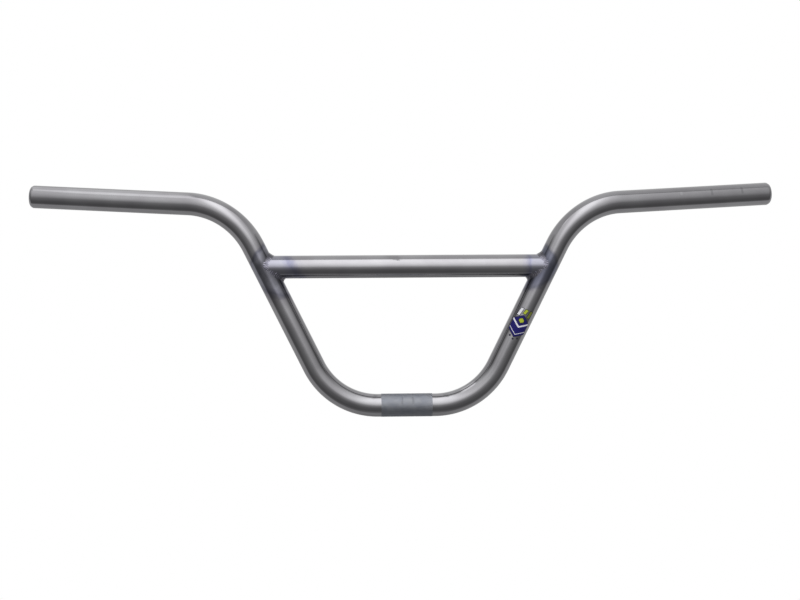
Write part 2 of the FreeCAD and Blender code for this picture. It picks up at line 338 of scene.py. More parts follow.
def add_object(name, data):
    """An object in the scene, with this mesh, light or camera."""
    item = bpy.data.objects.new(name, data)
    bpy.context.scene.collection.objects.link(item)
    return item


def shell(name, rings, straight=None, closed=True):
    """A mesh through rings of points, and round from the last ring to the first if it is closed."""
    count, around = len(rings), len(rings[0])
    points = np.concatenate(rings)
    faces = []
    for ring in range(count if closed else count - 1):
        here, there = ring * around, (ring + 1) % count * around
        for step in range(around):
            after = (step + 1) % around
            faces.append((here + step, there + step, there + after, here + after))
    mesh = bpy.data.meshes.new(name)
    mesh.from_pydata(points.tolist(), [], faces)
    if straight is not None:
        carry(mesh, "straight", np.concatenate(straight))
    tidy_normals(mesh)
    return mesh


def tidy_normals(mesh, crease=math.radians(35)):
    """Faces turned outwards, smooth but for the creases."""
    work = bmesh.new()
    work.from_mesh(mesh)
    bmesh.ops.recalc_face_normals(work, faces=work.faces)
    work.to_mesh(mesh)
    work.free()
    mesh.shade_smooth()
    mesh.set_sharp_from_angle(angle=crease)
    mesh.update()


def carry(mesh, name, values):
    """Store a number or a vector at each point of a mesh."""
    values = np.asarray(values, np.float32)
    kind, key = ("FLOAT_VECTOR", "vector") if values.ndim == 2 else ("FLOAT", "value")
    attribute = mesh.attributes.new(name, kind, "POINT")
    attribute.data.foreach_set(key, values.ravel())


def points_of(mesh):
    """A mesh's points as rows."""
    values = np.zeros(len(mesh.vertices) * 3, np.float32)
    mesh.vertices.foreach_get("co", values)
    return values.reshape(-1, 3).astype(float)


def mirrored(points):
    """Points on the other side of the bar."""
    return points * np.array([-1.0, 1.0, 1.0])


# The route of the bent tube.

def half_route():
    """Right half of the route: rows of (distance along, centre, front, up), from the clamp to the end."""
    place = Vector((0, 0, 0))
    turn = Matrix.Identity(3)
    bend_axis = LEG_WAY.cross(GRIP_WAY).normalized()
    runs = [
        ("straight", CLAMP_HALF, None),
        ("bend", LEG_ANGLE, (Vector((0, -1, 0)), LOWER_BEND_RADIUS)),
        ("straight", LEG_STRAIGHT, None),
        ("bend", UPPER_BEND, (bend_axis, UPPER_BEND_RADIUS)),
        ("straight", GRIP_STRAIGHT, None),
    ]
    along = 0.0
    rows = [(along, place.copy(), turn.copy())]
    for kind, size, bend in runs:
        length = size if kind == "straight" else size * bend[1]
        steps = math.ceil(length / (STRAIGHT_STEP if kind == "straight" else BEND_STEP))
        for _ in range(steps):
            way = turn @ Vector((1, 0, 0))
            if kind == "straight":
                place = place + way * (length / steps)
            else:
                axis, radius = bend
                centre = place + axis.cross(way) * radius
                step_turn = Matrix.Rotation(size / steps, 3, axis)
                place = centre + step_turn @ (place - centre)
                turn = step_turn @ turn
            along += length / steps
            rows.append((along, place.copy(), turn.copy()))
    front, up = Vector((0, -1, 0)), Vector((0, 0, 1))
    return [(s, np.array(p), np.array(t @ front), np.array(t @ up)) for s, p, t in rows]


ROUTE = half_route()
ROUTE_ALONG = np.array([row[0] for row in ROUTE])


def station(along):
    """Centre, front and up of the route at a signed distance from the middle of the clamp."""
    reach = abs(along)
    last = len(ROUTE) - 1
    index = min(max(int(np.searchsorted(ROUTE_ALONG, reach)), 1), last)
    before, after = ROUTE[index - 1], ROUTE[index]
    share = (reach - before[0]) / (after[0] - before[0])
    centre, front, up = (before[k] + (after[k] - before[k]) * share for k in (1, 2, 3))
    flip = np.array([1.0 if along >= 0 else -1.0, 1.0, 1.0])
    return centre * flip, front / np.linalg.norm(front) * flip, up / np.linalg.norm(up) * flip


def tube_points(along, radius, angles):
    """Points round the route, and the same points on the bar as it was before bending."""
    centre, front, up = station(along)
    cosine, sine = np.cos(angles)[:, None], np.sin(angles)[:, None]
    radius = np.broadcast_to(np.asarray(radius, float), angles.shape)[:, None]
    points = centre + radius * (cosine * front + sine * up)
    straight = np.concatenate([np.full_like(cosine, along), radius * cosine, radius * sine], axis=1)
    return points, straight


def ring_angles(count=AROUND):
    """Angles round a tube: nothing is the front, a quarter turn the top."""
    return np.arange(count) * (2 * math.pi / count)


def bar_profile():
    """The bar's wall as (distance along, radius): outside from left to right, and back along the bore."""
    end = HALF_LENGTH
    shoulder = end - END_TAPER_LENGTH
    tip = TUBE_RADIUS - END_TAPER_DEPTH
    drop = TAPER_EASE * (END_TAPER_DEPTH / END_TAPER_LENGTH)
    right = [
        (shoulder - TAPER_EASE, TUBE_RADIUS),
        (shoulder, TUBE_RADIUS - drop / 4),
        (shoulder + TAPER_EASE, TUBE_RADIUS - drop),
        (end - TAPER_EASE, tip + drop),
        (end, tip - MOUTH_EASE),
        (end, BORE_RADIUS + MOUTH_CHAMFER),
    ]
    knurl = KNURL_LENGTH / 2 - KNURL_BEVEL
    seat = TUBE_RADIUS - KNURL_RECESS
    first, last = KNURL_LENGTH / 2 + EDGE_MARGIN, shoulder - EDGE_MARGIN
    outside = [(0.0, seat), (knurl, seat), (knurl, TUBE_RADIUS)]
    outside += [(s, TUBE_RADIUS) for s in ROUTE_ALONG if first < s < last] + right
    bore = [(end - MOUTH_CHAMFER, BORE_RADIUS)]
    bore += [(s, BORE_RADIUS) for s in ROUTE_ALONG[::-2] if EDGE_MARGIN < s < end - 2 * EDGE_MARGIN]
    left_outside = [(-s, r) for s, r in outside[:0:-1]]
    left_bore = [(-s, r) for s, r in bore[::-1]]
    return left_outside + outside + bore + left_bore


def seam_points(count=SEAM_STEPS):
    """The line where the right leg and the crossbar meet, from the front over the top and round."""
    angles = ring_angles(count)
    across, rise = -TUBE_RADIUS * np.cos(angles), TUBE_RADIUS * np.sin(angles)
    return np.stack([cope_x(across, rise), across, CROSSBAR_HEIGHT + rise], axis=1)


def cope_x(across, rise):
    """How far along the crossbar the right leg's near side lies, at a place across and above its axis."""
    depth = np.sqrt(np.maximum(TUBE_RADIUS**2 - across**2, 0.0))
    return JOINT_X + (rise * math.cos(LEG_ANGLE) - depth) / math.sin(LEG_ANGLE)


def crossbar_heat(points):
    """Distance along the crossbar from the nearer leg's axis, as a share of the heat's reach there."""
    side = np.where(points[:, 0] < 0, 0, 1)
    rise = (points[:, 2] - CROSSBAR_HEIGHT) / TUBE_RADIUS
    reach = np.array(HEAT_CROSSBAR)[side] - np.array(HEAT_LEAN)[side] * rise
    return (JOINT_X - np.abs(points[:, 0])) / MM / reach


def heat_distance(points, up, down):
    """Distance from the nearer weld as a share of the heat's reach, which differs up and down the leg."""
    seam = seam_points(HEAT_STEPS)
    left = points[:, 0] < 0
    folded = np.where(left[:, None], mirrored(points), points)
    found = np.full(len(points), HEAT_LIMIT)
    near = np.linalg.norm(folded - seam.mean(axis=0), axis=1) < HEAT_LIMIT * MM
    gaps = np.linalg.norm(folded[near][:, None, :] - seam[None, :, :], axis=2).min(axis=1)
    found[near] = np.minimum(gaps / MM, HEAT_LIMIT)
    climb = (folded - np.array([JOINT_X, 0.0, CROSSBAR_HEIGHT])) @ np.array(LEG_WAY)
    above = np.clip(climb / HEAT_BLEND * 0.5 + 0.5, 0, 1)
    reach_up, reach_down = (np.where(left, *reaches) for reaches in (up, down))
    return found / (reach_up * above + reach_down * (1 - above))


# Pieces.

def make_bar():
    """The bent tube, open at both ends, with a shallow seat for the knurl."""
    angles = ring_angles()
    rings, straight = zip(*(tube_points(along, radius, angles) for along, radius in bar_profile()))
    mesh = shell("bent_tube", rings, straight)
    carry(mesh, "seam", heat_distance(points_of(mesh), HEAT_UP, HEAT_DOWN))
    carry(mesh, "bent", np.ones(len(mesh.vertices)))
    return add_object("bent_tube", mesh)


def make_crossbar():
    """The straight tube between the legs, its ends cut to fit round them."""
    angles = ring_angles()
    shares = np.sin(np.linspace(-math.pi / 2, math.pi / 2, CROSSBAR_STEPS))

    def rings_at(radius, order):
        across, rise = -radius * np.cos(angles), radius * np.sin(angles)
        reach = np.minimum(cope_x(across, rise), CROSSBAR_HALF)
        return [np.stack([reach * share, across, CROSSBAR_HEIGHT + rise], axis=1) for share in order]

    rings = rings_at(TUBE_RADIUS, shares) + rings_at(TUBE_RADIUS - CROSSBAR_WALL, shares[::-1])
    offset = np.array([CROSSBAR_APART, 0.0, -CROSSBAR_HEIGHT])
    mesh = shell("cross_tube", rings, [ring + offset for ring in rings])
    carry(mesh, "seam", crossbar_heat(points_of(mesh)))
    carry(mesh, "bent", np.zeros(len(mesh.vertices)))
    return add_object("cross_tube", mesh)


def smooth_loop(values, width):
    """A closed run of rows, smoothed by a bell curve of a width in rows."""
    reach = 3 * width
    offsets = np.arange(-reach, reach + 1)
    weights = np.exp(-0.5 * (offsets / width) ** 2)
    weights /= weights.sum()
    return sum(weight * np.roll(values, -offset, axis=0) for offset, weight in zip(offsets, weights))


def even_loop(points, count):
    """A closed line cut into equal steps, and its length."""
    closed = np.concatenate([points, points[:1]])
    gaps = np.linalg.norm(np.diff(closed, axis=0), axis=1)
    along = np.concatenate([[0.0], np.cumsum(gaps)])
    wanted = np.arange(count) * along[-1] / count
    return np.stack([np.interp(wanted, along, closed[:, k]) for k in range(3)], axis=1), along[-1]


def unit(rows):
    """Rows of length one."""
    return rows / np.linalg.norm(rows, axis=1, keepdims=True)


def onto_tube(points, centre, way):
    """Points moved straight out or in to the surface of a tube, less the bead's sink."""
    offset = points - centre
    flat = offset - (offset @ way)[:, None] * way
    return points + unit(flat) * (TUBE_RADIUS - BEAD_SINK) - flat


def onto_front(points):
    """Points moved straight forwards, or back behind the bar, to the outer of the joint's two tubes."""
    across, rise = points[:, 0] - JOINT_X, points[:, 2] - CROSSBAR_HEIGHT
    from_leg = across * math.sin(LEG_ANGLE) - rise * math.cos(LEG_ANGLE)
    nearest = np.minimum(from_leg**2, rise**2)
    depth = np.sqrt(np.maximum(TUBE_RADIUS**2 - nearest, 0.0))
    return np.stack([points[:, 0], np.sign(points[:, 1]) * depth, points[:, 2]], axis=1)


def bead_line():
    """The right bead's line, the seam blunted at the front and the back, and the seam's length."""
    seam, length = even_loop(seam_points(), BEAD_STEPS)
    widths = [int(width / length * BEAD_STEPS) for width in (SEAM_TIGHT, SEAM_BLUNT)]
    tight, blunt = (smooth_loop(seam, width) for width in widths)
    level = np.abs(tight[:, 2:] - CROSSBAR_HEIGHT) / TUBE_RADIUS
    nearness = np.clip(1 - level / BLUNT_REACH, 0, 1)
    share = nearness**2 * (3 - 2 * nearness)
    return tight * (1 - share) + onto_front(blunt) * share, length


def bead_rings():
    """The right weld's bead: for each step along the seam, a ring of points round the bead's section."""
    seam, length = bead_line()
    joint = np.array([JOINT_X, 0.0, CROSSBAR_HEIGHT])
    leg_way, cross_way = np.array(LEG_WAY), np.array([1.0, 0.0, 0.0])
    offset = seam - joint
    leg_normal = unit(offset - (offset @ leg_way)[:, None] * leg_way)
    cross_normal = unit(offset - (offset @ cross_way)[:, None] * cross_way)
    way = unit(smooth_loop(np.roll(seam, -1, axis=0) - np.roll(seam, 1, axis=0), WAY_SMOOTH))
    up_leg = np.cross(way, leg_normal)
    along_cross = np.cross(way, cross_normal)
    top = int(np.argmax(seam[:, 2]))
    up_leg *= np.sign(up_leg[top] @ leg_way)
    along_cross *= -np.sign(along_cross[top] @ cross_way)
    height = cross_normal[:, 2]
    corner = np.abs(height)[:, None]
    wide = np.where(height > 0, BEAD_TOP, BEAD_UNDER)[:, None] * corner + BEAD_SIDE * (1 - corner)
    wide = smooth_loop(wide, WIDTH_SMOOTH)
    leg_toe = onto_tube(seam + unit(up_leg) * wide, joint, leg_way)
    cross_toe = onto_tube(seam + unit(along_cross) * wide, joint, cross_way)
    outward = unit(smooth_loop(leg_normal + cross_normal, OUTWARD_SMOOTH))
    middle = (leg_toe + cross_toe) / 2
    below = ((seam - middle) * outward).sum(axis=1)[:, None]
    proud = smooth_loop(np.where(below > 0, below + BEAD_PROUD, 0.0), PROUD_SMOOTH)
    proud = proud * (1 - corner) - BEAD_HOLLOW * corner
    ripples = round(length / RIPPLE_PITCH)
    lumps = 1 + RIPPLE_VARIES * RANDOM.standard_normal(ripples)
    rows = []
    for share in np.linspace(-1, 1, BEAD_ACROSS):
        phase = np.arange(BEAD_STEPS) / BEAD_STEPS * ripples + RIPPLE_BOW * share**2
        number = np.floor(phase).astype(int) % ripples
        part = phase - np.floor(phase)
        scale = part**RIPPLE_RISE * (1 - part) ** RIPPLE_FALL * lumps[number]
        crown = 1 - share**2
        lift = proud[:, 0] * crown + RIPPLE_HEIGHT * math.sqrt(crown) * (scale - RIPPLE_LEVEL)
        base = leg_toe * (1 - share) / 2 + cross_toe * (1 + share) / 2
        rows.append(base + outward * lift[:, None])
    rows.append(smooth_loop(seam - outward * BEAD_ROOT, ROOT_SMOOTH))
    return list(np.stack(rows, axis=1))


def make_bead(name, rings):
    """A weld's bead with its ripples."""
    return add_object(name, shell(name, rings))


def knurl_height(along, angles):
    """Height of the knurl's teeth, from 0 in the grooves to 1 at the crests."""
    turn = angles / (2 * math.pi) * KNURL_DIAMONDS
    step = along / KNURL_LENGTH * KNURL_ROWS
    grooves = [np.abs(np.mod(step + sign * turn, 1.0) - 0.5) * 2 for sign in (1, -1)]
    return 1 - np.clip(np.maximum(*grooves) * (1 + KNURL_FLAT) - KNURL_FLAT, 0, 1)


def make_knurl():
    """The knurled band: rows of small diamonds rolled into the clamp, with two centring ticks."""
    angles = ring_angles(KNURL_DIAMONDS * DIAMOND_POINTS)
    half = KNURL_LENGTH / 2
    crest = TUBE_RADIUS + KNURL_RISE
    edge, seat = TUBE_RADIUS - KNURL_EDGE, TUBE_RADIUS - KNURL_RECESS
    places = np.linspace(-half + KNURL_BEVEL, half - KNURL_BEVEL, KNURL_ROWS * ROW_RINGS)
    sections = [(-half + KNURL_BEVEL, seat), (-half, edge)]
    for along in places:
        depth = KNURL_DEPTH * (1 - knurl_height(along, angles))
        if min(abs(along - tick) for tick in TICKS) < TICK_WIDTH / 2:
            depth = np.where((angles > TICK_LOW) & (angles < TICK_HIGH), TICK_DEPTH, depth)
        sections.append((along, crest - depth))
    sections += [(half, edge), (half - KNURL_BEVEL, seat)]
    rings, straight = zip(*(tube_points(along, radius, angles) for along, radius in sections))
    return add_object("knurl", shell("knurl", rings, straight))


# The decal: its place up the right leg from the bend, and so along the bar; the thickness of a film; the
# way round the tube; the lines where the films are cut to bend; and how pointed its forms are. Its
# colours follow. The outlines are in millimetres, across the front of the leg and along it.
DECAL_UP = 47.0 * MM
DECAL_ALONG = CLAMP_HALF + LOWER_BEND_RADIUS * LEG_ANGLE + DECAL_UP
DECAL_LIFT = 0.03 * MM
DECAL_SIDE = -1.0
DECAL_CUTS = range(-10, 11)
DECAL_POINT = 0.7
BLUE = (0.006, 0.004, 0.12)
PALE = (0.80, 0.80, 0.84)
LIME = (0.42, 0.50, 0.03)
OLIVE = (0.16, 0.18, 0.02)
INK = (0.02, 0.02, 0.035)


def hexagon(width, low, high):
    """A badge with points at both ends."""
    tip = width * DECAL_POINT
    lower = [(-width, low + tip), (0, low), (width, low + tip)]
    return lower + [(width, high - tip), (0, high), (-width, high - tip)]


def chevron(width, low, thick):
    """A stripe bent to a point in the middle."""
    tip = width * DECAL_POINT
    lower = [(-width, low + tip), (0, low), (width, low + tip)]
    return lower + [(across, along + thick) for across, along in lower[::-1]]


def bar(middle, low, high, half, slant):
    """A slanted bar."""
    left, right = middle - half, middle + half
    return [(left, low), (right, low), (right + slant, high), (left + slant, high)]


def decal_layers():
    """The decal's films from the bottom up: (layer, colour, outline)."""
    films = [(0, INK, hexagon(8.9, -16.4, 7.4)), (1, BLUE, hexagon(8.3, -15.6, 6.6))]
    films += [(2, PALE, chevron(8.3, -6.2, 1.7)), (2, PALE, chevron(8.3, -13.6, 0.6))]
    films += [(2, INK, hexagon(3.0, -1.9, 4.7)), (3, LIME, hexagon(2.3, -1.0, 3.8))]
    for middle, colour in ((-5.4, PALE), (-0.4, LIME), (4.6, OLIVE)):
        low = 8.6 - abs(middle) * 0.6
        films += [(0, INK, bar(middle, low - 0.5, 13.4, 1.9, 1.2))]
        films += [(1, colour, bar(middle, low, 12.9, 1.3, 1.2))]
    for middle in (-4.0, 0.0, 4.0):
        low = -18.8 + abs(middle) * 0.5
        films += [(1, INK, bar(middle, low, low + 1.8, 0.9, 0.0))]
    return films


def make_decal():
    """Thin printed films wrapped round the right leg."""
    work = bmesh.new()
    colours = []
    for layer, colour, outline in decal_layers():
        film = bmesh.new()
        film.faces.new([film.verts.new((across, along, 0)) for across, along in outline])
        for cut in DECAL_CUTS:
            every = film.verts[:] + film.edges[:] + film.faces[:]
            bmesh.ops.bisect_plane(film, geom=every, plane_co=(cut, 0, 0), plane_no=(1, 0, 0))
        top = film.faces[:]
        under = bmesh.ops.extrude_face_region(film, geom=top)["geom"]
        sunk = {vert for vert in under if isinstance(vert, bmesh.types.BMVert)}
        film.verts.index_update()
        made = []
        for vert in film.verts:
            angle = np.array([vert.co.x * MM / TUBE_RADIUS])
            radius = TUBE_RADIUS + (DECAL_LIFT * (layer + 1) if vert not in sunk else -DECAL_LIFT)
            spot, _ = tube_points(DECAL_ALONG + vert.co.y * MM, radius, angle * DECAL_SIDE)
            made.append(work.verts.new(spot[0]))
            colours.append((*colour, 1.0))
        for face in film.faces:
            work.faces.new([made[vert.index] for vert in face.verts])
        film.free()
    mesh = bpy.data.meshes.new("decal")
    work.to_mesh(mesh)
    work.free()
    ink = mesh.attributes.new("ink", "FLOAT_COLOR", "POINT")
    ink.data.foreach_set("color", np.array(colours, np.float32).ravel())
    tidy_normals(mesh)
    return add_object("decal", mesh)


# Finishes.

# Fineness of the noise, in swells per metre: along the tube and across it, or alike all ways.
STREAKS = (14, 420, 420)
STAINS = (38, 60, 60)
DRAWN_LINES = (30, 2600, 2600)
COAT_PEEL = (420, 420, 420)
HEAT_WANDER = (140, 140, 140)
WELD_PATCHES = (260, 260, 260)
WELD_GRAIN = (1800, 1800, 1800)
KNURL_PATCHES = (90, 120, 120)
KNURL_GRAIN = (2600, 2600, 2600)
FILM_GRAIN = (1500, 1500, 1500)

# Where most of a noise's values lie, those of the stains and of the heat's edge, and of two together.
NOISE_SPAN = (0.3, 0.7)
STAIN_SPAN = (0.35, 0.65)
WANDER_SPAN = (0.25, 0.75)
BOTH_SPAN = (0.7, 1.3)

# Etched cut marks on the right grip: how they are spaced from the tube's end, their width, and their
# place round the tube in degrees. Then for each kind: the middle of its places counted from the end and
# how far they spread, half its size round the tube, its strength and its colour. The first two marks
# are dark, and the third has worn down to a bright spot.
MARK_SPACING = 32.0 * MM
MARK_SHIFT = 0.5 * MM
MARK_WIDTH = 1.5 * MM
MARK_CLIMB = 20.0
MARK_KINDS = [
    (1.5, 0.6, 24.0, 0.42, (0.12, 0.12, 0.13)),
    (3.0, 0.1, 12.0, 0.16, (0.62, 0.62, 0.64)),
]

# Colours, roughness and relief of the steel, the beads, the knurl and the film.
STEEL_LIGHT = (0.335, 0.333, 0.348)
STEEL_DARK = (0.285, 0.278, 0.296)
STREAK_COLOUR = (0.25, 0.245, 0.26)
STREAK_SHARE = 0.35
STEEL_ROUGHNESS = (0.06, 0.14)
LINES_SHARE, PEEL_SHARE = 0.35, 0.65
WELD_COLOURS = [
    (0.0, (0.135, 0.13, 0.18)),
    (0.5, (0.195, 0.19, 0.24)),
    (1.0, (0.265, 0.255, 0.30)),
]
WELD_ROUGHNESS = (0.10, 0.20)
KNURL_COLOURS = ((0.235, 0.248, 0.285), (0.285, 0.293, 0.318))
KNURL_ROUGHNESS = (0.34, 0.48)
FILM_GREY = (0.12, 0.12, 0.15)
FILM_WEAR = 0.05
FILM_ROUGHNESS = (0.4, 0.55)
COAT_IOR = 1.5
BUMP_DEPTH = 0.05 * MM

# How far the welds' heat coloured the tubes, in millimetres on the left and on the right: up the
# legs and down them from the weld, and along the crossbar from the leg's axis, where the colours
# lean. Beyond the limit there is none; near the weld the reaches up and down blend, and the edge
# strays. Then the tints, by distance as a share of that reach.
HEAT_UP = (12.8, 10.5)
HEAT_DOWN = (18.8, 13.2)
HEAT_CROSSBAR = (28.0, 17.3)
HEAT_LEAN = (6.5, 0.0)
HEAT_LIMIT = 80.0
HEAT_BLEND = 8.0 * MM
HEAT_STRAY = 0.12
LEFT_HEAT = [
    (0.0, (0.36, 0.36, 0.40)),
    (0.25, (0.40, 0.405, 0.46)),
    (0.45, (0.58, 0.59, 0.66)),
    (0.65, (0.78, 0.79, 0.88)),
    (0.80, (0.66, 0.67, 0.78)),
    (0.95, (0.44, 0.45, 0.55)),
    (1.05, (0.55, 0.55, 0.62)),
    (1.2, (0.90, 0.89, 0.91)),
    (1.4, (1.0, 1.0, 1.0)),
]
RIGHT_HEAT = [
    (0.0, (0.29, 0.30, 0.40)),
    (0.25, (0.32, 0.34, 0.46)),
    (0.5, (0.41, 0.44, 0.58)),
    (0.75, (0.49, 0.51, 0.65)),
    (0.92, (0.43, 0.45, 0.55)),
    (1.05, (0.66, 0.66, 0.72)),
    (1.2, (0.94, 0.93, 0.95)),
    (1.4, (1.0, 1.0, 1.0)),
]
LEFT_CROSSBAR_HEAT = [
    (0.0, (0.82, 0.82, 0.92)),
    (0.3, (0.84, 0.85, 0.96)),
    (0.6, (0.88, 0.90, 1.0)),
    (0.8, (0.76, 0.78, 0.94)),
    (0.95, (0.57, 0.59, 0.79)),
    (1.05, (0.58, 0.60, 0.78)),
    (1.15, (0.74, 0.74, 0.85)),
    (1.28, (0.93, 0.93, 0.97)),
    (1.45, (1.0, 1.0, 1.0)),
]
RIGHT_CROSSBAR_HEAT = [
    (0.0, (0.82, 0.82, 0.93)),
    (0.3, (0.84, 0.84, 0.97)),
    (0.6, (0.87, 0.89, 1.0)),
    (0.82, (0.87, 0.89, 1.0)),
    (0.91, (0.82, 0.84, 1.0)),
    (1.0, (0.67, 0.69, 0.91)),
    (1.06, (0.61, 0.63, 0.82)),
    (1.15, (0.74, 0.75, 0.88)),
    (1.28, (0.92, 0.92, 0.99)),
    (1.45, (1.0, 1.0, 1.0)),
]

# The scale beside the welds dulls the gloss: how far it goes as a share of the heat's reach, and
# its roughness.
SCALE_REACH = 0.5
SCALE_ROUGHNESS = 0.32

# The bore is bare and dull.
BORE_ROUGHNESS = 0.6

# Painted light and shade on the beads: how bright they are by height, with a painted highlight near the
# crossbar's axis and painted shade on top and below. Height is from the crossbar's axis as a share of the
# tube's radius.
LEFT_PAINTED_SHADING = [
    (-1.3, 0.55),
    (-0.35, 0.90),
    (-0.05, 1.25),
    (0.38, 1.30),
    (0.60, 0.75),
    (0.92, 0.46),
    (1.3, 0.36),
]
RIGHT_PAINTED_SHADING = [
    (-1.3, 0.55),
    (-0.45, 0.85),
    (-0.22, 1.45),
    (0.05, 1.40),
    (0.38, 1.00),
    (0.60, 0.70),
    (0.92, 0.46),
    (1.3, 0.36),
]


def coated_steel():
    """Drawn steel tube under a clear coat: streaks along it, stains, and heat colours by the welds."""
    material = bpy.data.materials.new("coated_steel")
    nodes = Nodes(material)
    place = nodes.attribute("straight", "Vector")
    streaks = nodes.noise(place, STREAKS, detail=4, roughness=0.6)
    stains = nodes.noise(place, STAINS, detail=3, roughness=0.55)
    lines = nodes.noise(place, DRAWN_LINES)
    peel = nodes.noise(place, COAT_PEEL)
    body = nodes.mix(nodes.span(stains, *STAIN_SPAN), STEEL_DARK, STEEL_LIGHT)
    body = nodes.mix(nodes.span(streaks, *NOISE_SPAN, 0.0, STREAK_SHARE), body, STREAK_COLOUR)
    wander = nodes.noise(place, HEAT_WANDER, detail=3, roughness=0.55)
    seam = nodes.attribute("seam", "Fac")
    reach = nodes.sum("ADD", seam, nodes.span(wander, *WANDER_SPAN, -HEAT_STRAY, HEAT_STRAY))
    tints = []
    for stops in (LEFT_HEAT, RIGHT_HEAT, LEFT_CROSSBAR_HEAT, RIGHT_CROSSBAR_HEAT):
        farthest = stops[-1][0]
        places = [(far / farthest, tint) for far, tint in stops]
        tints.append(nodes.ramp(nodes.span(reach, 0.0, farthest), places))
    parts = nodes.add("ShaderNodeSeparateXYZ", {0: place}).outputs
    leg_heat = nodes.mix(nodes.sum("GREATER_THAN", parts["X"], 0.0), tints[0], tints[1])
    bent = nodes.attribute("bent", "Fac")
    cross_heat = nodes.mix(nodes.sum("GREATER_THAN", parts["X"], CROSSBAR_APART), tints[2], tints[3])
    heat = nodes.mix(bent, cross_heat, leg_heat)
    colour = nodes.mix(1.0, body, heat, "MULTIPLY")
    from_end = nodes.sum("SUBTRACT", HALF_LENGTH + MARK_SHIFT, parts["X"])
    from_end = nodes.sum("DIVIDE", from_end, MARK_SPACING)
    nearest = nodes.sum("ROUND", from_end)
    beside = nodes.sum("ABSOLUTE", nodes.sum("SUBTRACT", from_end, nearest))
    width = MARK_WIDTH / MARK_SPACING
    mark = nodes.span(beside, width / 2, width, 1.0, 0.0, smooth=True)
    climb = nodes.sum("DEGREES", nodes.sum("ARCTAN2", parts["Z"], parts["Y"]))
    off = nodes.sum("ABSOLUTE", nodes.sum("SUBTRACT", climb, MARK_CLIMB))
    for middle, spread, half, strength, tint in MARK_KINDS:
        along = nodes.sum("MULTIPLY", mark, nodes.sum("COMPARE", nearest, middle, spread))
        around = nodes.span(off, half / 2, half, strength, 0.0, smooth=True)
        colour = nodes.mix(nodes.sum("MULTIPLY", along, around), colour, tint)
    roughness = nodes.span(nodes.sum("ADD", streaks, stains), *BOTH_SPAN, *STEEL_ROUGHNESS)
    scale = nodes.span(reach, 0.0, SCALE_REACH, SCALE_ROUGHNESS, 0.0, smooth=True)
    roughness = nodes.sum("MAXIMUM", roughness, nodes.sum("MULTIPLY", bent, scale))
    across = nodes.stretch(place, (0, 1, 1))
    radius = nodes.add("ShaderNodeVectorMath", {0: across}, operation="LENGTH").outputs["Value"]
    outside = nodes.sum("GREATER_THAN", radius, BORE_RADIUS + MOUTH_CHAMFER / 2)
    roughness = nodes.sum("MAXIMUM", roughness, nodes.span(outside, 0.0, 1.0, BORE_ROUGHNESS, 0.0))
    lines, peel = nodes.sum("MULTIPLY", lines, LINES_SHARE), nodes.sum("MULTIPLY", peel, PEEL_SHARE)
    shader = nodes.add("ShaderNodeBsdfPrincipled", {
        "Base Color": colour,
        "Metallic": 1.0,
        "Roughness": roughness,
        "Coat Weight": 1.0,
        "Coat Roughness": 0.04,
        "Coat IOR": COAT_IOR,
        "Normal": nodes.bump(nodes.sum("ADD", lines, peel), strength=0.25),
    })
    nodes.finish(shader.outputs[0])
    return material


def weld_steel():
    """The beads: mottled by heat, under the same coat, with painted shade on top and below and a painted
    highlight near the crossbar's axis.
    """
    material = bpy.data.materials.new("weld_steel")
    nodes = Nodes(material)
    place = nodes.add("ShaderNodeTexCoord").outputs["Object"]
    patches = nodes.noise(place, WELD_PATCHES, detail=3, roughness=0.6)
    grain = nodes.noise(place, WELD_GRAIN)
    colour = nodes.ramp(nodes.span(patches, *NOISE_SPAN), WELD_COLOURS)
    strongest = max(tone for _, tone in LEFT_PAINTED_SHADING + RIGHT_PAINTED_SHADING)
    parts = nodes.add("ShaderNodeSeparateXYZ", {0: place}).outputs
    # Painted shade on top and below and a painted highlight near the axis, one ramp for each bead,
    # multiplied into its colour.
    shades = []
    for painted_shading in (LEFT_PAINTED_SHADING, RIGHT_PAINTED_SHADING):
        low, high = painted_shading[0][0], painted_shading[-1][0]
        edges = (CROSSBAR_HEIGHT + low * TUBE_RADIUS, CROSSBAR_HEIGHT + high * TUBE_RADIUS)
        stops = [((spot - low) / (high - low), (tone / strongest,) * 3) for spot, tone in painted_shading]
        shades.append(nodes.ramp(nodes.span(parts["Z"], *edges), stops))
    shade = nodes.mix(nodes.sum("GREATER_THAN", parts["X"], 0.0), *shades)
    colour = nodes.mix(1.0, nodes.stretch(colour, (strongest,) * 3), shade, "MULTIPLY")
    shader = nodes.add("ShaderNodeBsdfPrincipled", {
        "Base Color": colour,
        "Metallic": 1.0,
        "Roughness": nodes.span(patches, *NOISE_SPAN, *WELD_ROUGHNESS),
        "Coat Weight": 1.0,
        "Coat Roughness": 0.05,
        "Coat IOR": COAT_IOR,
        "Normal": nodes.bump(grain, strength=0.2),
    })
    nodes.finish(shader.outputs[0])
    return material


def knurl_steel():
    """The knurl: matte, a little blue, and patchy."""
    material = bpy.data.materials.new("knurl_steel")
    nodes = Nodes(material)
    place = nodes.attribute("straight", "Vector")
    patches = nodes.noise(place, KNURL_PATCHES, detail=3, roughness=0.6)
    grain = nodes.noise(place, KNURL_GRAIN)
    colour = nodes.mix(nodes.span(patches, *NOISE_SPAN), *KNURL_COLOURS)
    shader = nodes.add("ShaderNodeBsdfPrincipled", {
        "Base Color": colour,
        "Metallic": 1.0,
        "Roughness": nodes.span(grain, *NOISE_SPAN, *KNURL_ROUGHNESS),
        "Normal": nodes.bump(grain, strength=0.3),
    })
    nodes.finish(shader.outputs[0])
    return material


